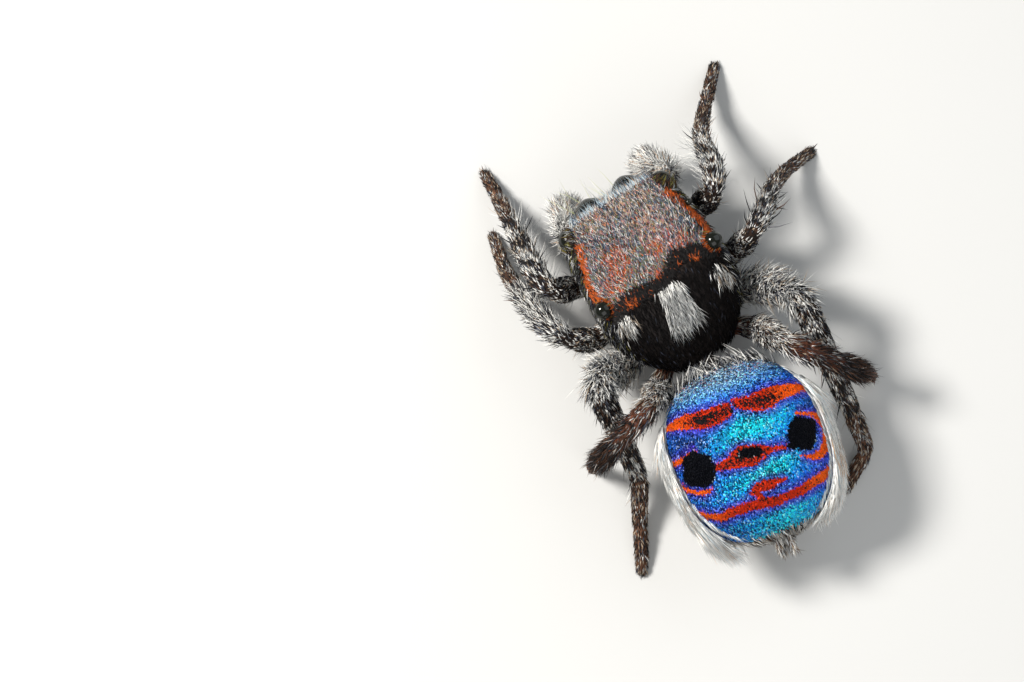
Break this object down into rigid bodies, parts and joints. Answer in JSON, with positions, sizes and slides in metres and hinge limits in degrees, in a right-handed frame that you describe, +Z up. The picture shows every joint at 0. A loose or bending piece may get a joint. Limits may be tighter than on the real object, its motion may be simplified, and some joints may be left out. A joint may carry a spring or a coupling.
{
  "type": "peacock spider",
  "caption": "Life-size still model of a male jumping spider standing with its patterned fan folded.",
  "frame": {"origin": "middle of the whole model's footprint, on the floor under its feet", "axes": "+Z up, the spider faces -Y and its right side is towards -X"},
  "size_m": [0.0039, 0.0058, 0.0016],
  "materials": {
    "shell": "dark glossy shell under grey, white and orange hairs",
    "eye": "polished black",
    "skin": "dark brown cuticle",
    "feeler": "pale grey hair",
    "fan": "silky white hair",
    "scales": "glittering blue scales with red bands",
    "leg": "grey, white and brown scales and hairs"
  },
  "bodies": {
    "root": {"abdomen": "scales", "breast_plate": "skin", "eye_front_middle_left": "eye", "eye_front_middle_right": "eye", "eye_front_side_left": "eye", "eye_front_side_right": "eye", "eye_rear_left": "eye", "eye_rear_middle_left": "eye", "eye_rear_middle_right": "eye", "eye_rear_right": "eye", "fan_left": "fan", "fan_right": "fan", "feeler_arm_left": "feeler", "feeler_arm_right": "feeler", "feeler_brush_left": "feeler", "feeler_brush_right": "feeler", "head_shell": "shell", "jaw_left": "skin", "jaw_right": "skin", "leg_1_left_foot": "leg", "leg_1_left_shin": "leg", "leg_1_left_thigh": "leg", "leg_1_right_foot": "leg", "leg_1_right_shin": "leg", "leg_1_right_thigh": "leg", "leg_2_left_foot": "leg", "leg_2_left_shin": "leg", "leg_2_left_thigh": "leg", "leg_2_right_foot": "leg", "leg_2_right_shin": "leg", "leg_2_right_thigh": "leg", "leg_3_left_foot": "leg", "leg_3_left_shin": "leg", "leg_3_left_thigh": "leg", "leg_3_right_foot": "leg", "leg_3_right_shin": "leg", "leg_3_right_thigh": "leg", "leg_4_left_foot": "leg", "leg_4_left_shin": "leg", "leg_4_left_thigh": "leg", "leg_4_right_foot": "leg", "leg_4_right_shin": "leg", "leg_4_right_thigh": "leg", "spinnerets": "skin", "waist": "skin"}
  },
  "joints": []
}
